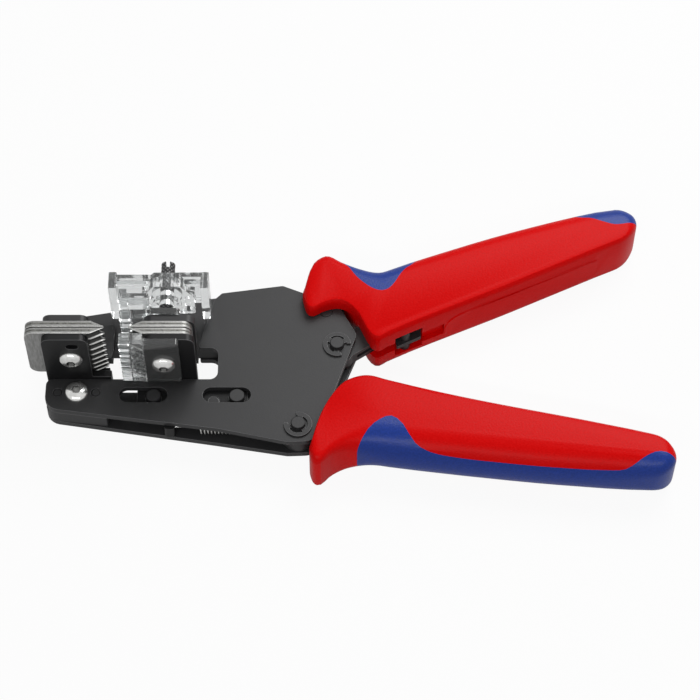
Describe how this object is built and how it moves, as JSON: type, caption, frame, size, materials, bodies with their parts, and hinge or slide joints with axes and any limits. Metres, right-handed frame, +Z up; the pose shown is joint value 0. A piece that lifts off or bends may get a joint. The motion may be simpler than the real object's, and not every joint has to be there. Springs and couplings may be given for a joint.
{
  "type": "wire stripper",
  "caption": "Hand wire stripper with form blades on steel plates, sliding jaws, a swinging strip arm, a clear length stop and two sprung grips in red and blue plastic",
  "frame": {"origin": "centre of the box in plan, on the plane of the handles' underside", "axes": "+X along the tool from the jaws to the handle ends, +Y across it from the lower to the upper handle, +Z up from the face it lies on"},
  "size_m": [0.1952, 0.0964, 0.0421],
  "materials": {
    "black_steel": "burnished black, satin",
    "ground_steel": "ground tool steel",
    "bright_steel": "nickel-plated, bright",
    "clear_plastic": "clear, polished",
    "red_plastic": "moulded, fine matt grain",
    "blue_soft_plastic": "soft plastic, fine matt grain",
    "spring_steel": "drawn spring wire"
  },
  "bodies": {
    "frame": {"top_plate": "black_steel", "bottom_plate": "black_steel", "front_spacer": "black_steel", "fixed_bracket_front": "black_steel", "fixed_blade_front": "ground_steel", "fixed_screw_front": "bright_steel", "foot_screw_front": "bright_steel", "foot_dowels_front": "black_steel", "pivot_pin_upper": "black_steel", "pivot_pin_lower": "black_steel", "pivot_clips": "black_steel", "arm_pivot_pin": "black_steel", "spring_post": "black_steel", "arm_spring_post": "black_steel", "carriage_spring": "spring_steel", "arm_spring": "spring_steel"},
    "lower_handle": {"lower_lever": "black_steel", "lower_grip": "red_plastic", "lower_grip_inlay": "blue_soft_plastic"},
    "upper_handle": {"upper_lever": "black_steel", "upper_grip": "red_plastic", "upper_saddle_inlay": "blue_soft_plastic", "upper_end_inlay": "blue_soft_plastic", "upper_handle_pin": "black_steel"},
    "strip_arm": {"strip_arm": "black_steel", "fixed_bracket_rear": "black_steel", "fixed_blade_rear": "ground_steel", "fixed_screw_rear": "bright_steel", "foot_screw_rear": "bright_steel", "foot_dowels_rear": "black_steel"},
    "front_carriage": {"front_carriage": "black_steel", "moving_bracket_front": "black_steel", "moving_blade_front": "ground_steel", "moving_screw_front": "bright_steel", "slide_pins_front": "black_steel", "carriage_rivet": "black_steel", "carriage_drive_pin": "black_steel", "wire_guide_front": "clear_plastic"},
    "rear_carriage": {"moving_bracket_rear": "black_steel", "moving_blade_rear": "ground_steel", "slide_pins_rear": "black_steel", "wire_guide_rear": "clear_plastic", "stop_rod": "black_steel"},
    "length_stop": {"length_stop": "clear_plastic"}
  },
  "joints": [
    {"name": "lower_squeeze", "type": "hinge", "parent": "frame", "child": "lower_handle", "pos_m": [-0.01568, -0.03033, 0.00825], "axis": [0, 0, 1], "range_deg": [0, 22], "stiffness_Nm_per_rad": 0.6, "springref_deg": -11.46},
    {"name": "jaw_close", "type": "slide", "parent": "frame", "child": "front_carriage", "axis": [-1, 0, 0], "range_m": [0, 0.0073], "deforming": ["carriage_spring"]},
    {"name": "upper_squeeze", "type": "hinge", "parent": "frame", "child": "upper_handle", "pos_m": [-0.00398, -0.00183, 0.00825], "axis": [0, 0, -1], "range_deg": [0, 6.44], "stiffness_Nm_per_rad": 1.2, "springref_deg": -8.59},
    {"name": "strip_swing", "type": "hinge", "parent": "frame", "child": "strip_arm", "pos_m": [-0.00749, 0.01067, 0.00825], "axis": [0, 0, -1], "range_deg": [0, 8], "deforming": ["arm_spring"]},
    {"name": "rear_jaw_close", "type": "slide", "parent": "strip_arm", "child": "rear_carriage", "axis": [-1, 0, 0], "range_m": [0, 0.0073]},
    {"name": "stop_slide", "type": "slide", "parent": "rear_carriage", "child": "length_stop", "axis": [0, 1, 0], "range_m": [-0.005, 0.006]}
  ],
  "couplings": [
    {"joint": "jaw_close", "follows": "lower_squeeze", "m_per_rad": 0.01901},
    {"joint": "rear_jaw_close", "follows": "lower_squeeze", "m_per_rad": 0.01901},
    {"joint": "strip_swing", "follows": "upper_squeeze", "ratio": 1.2414}
  ]
}
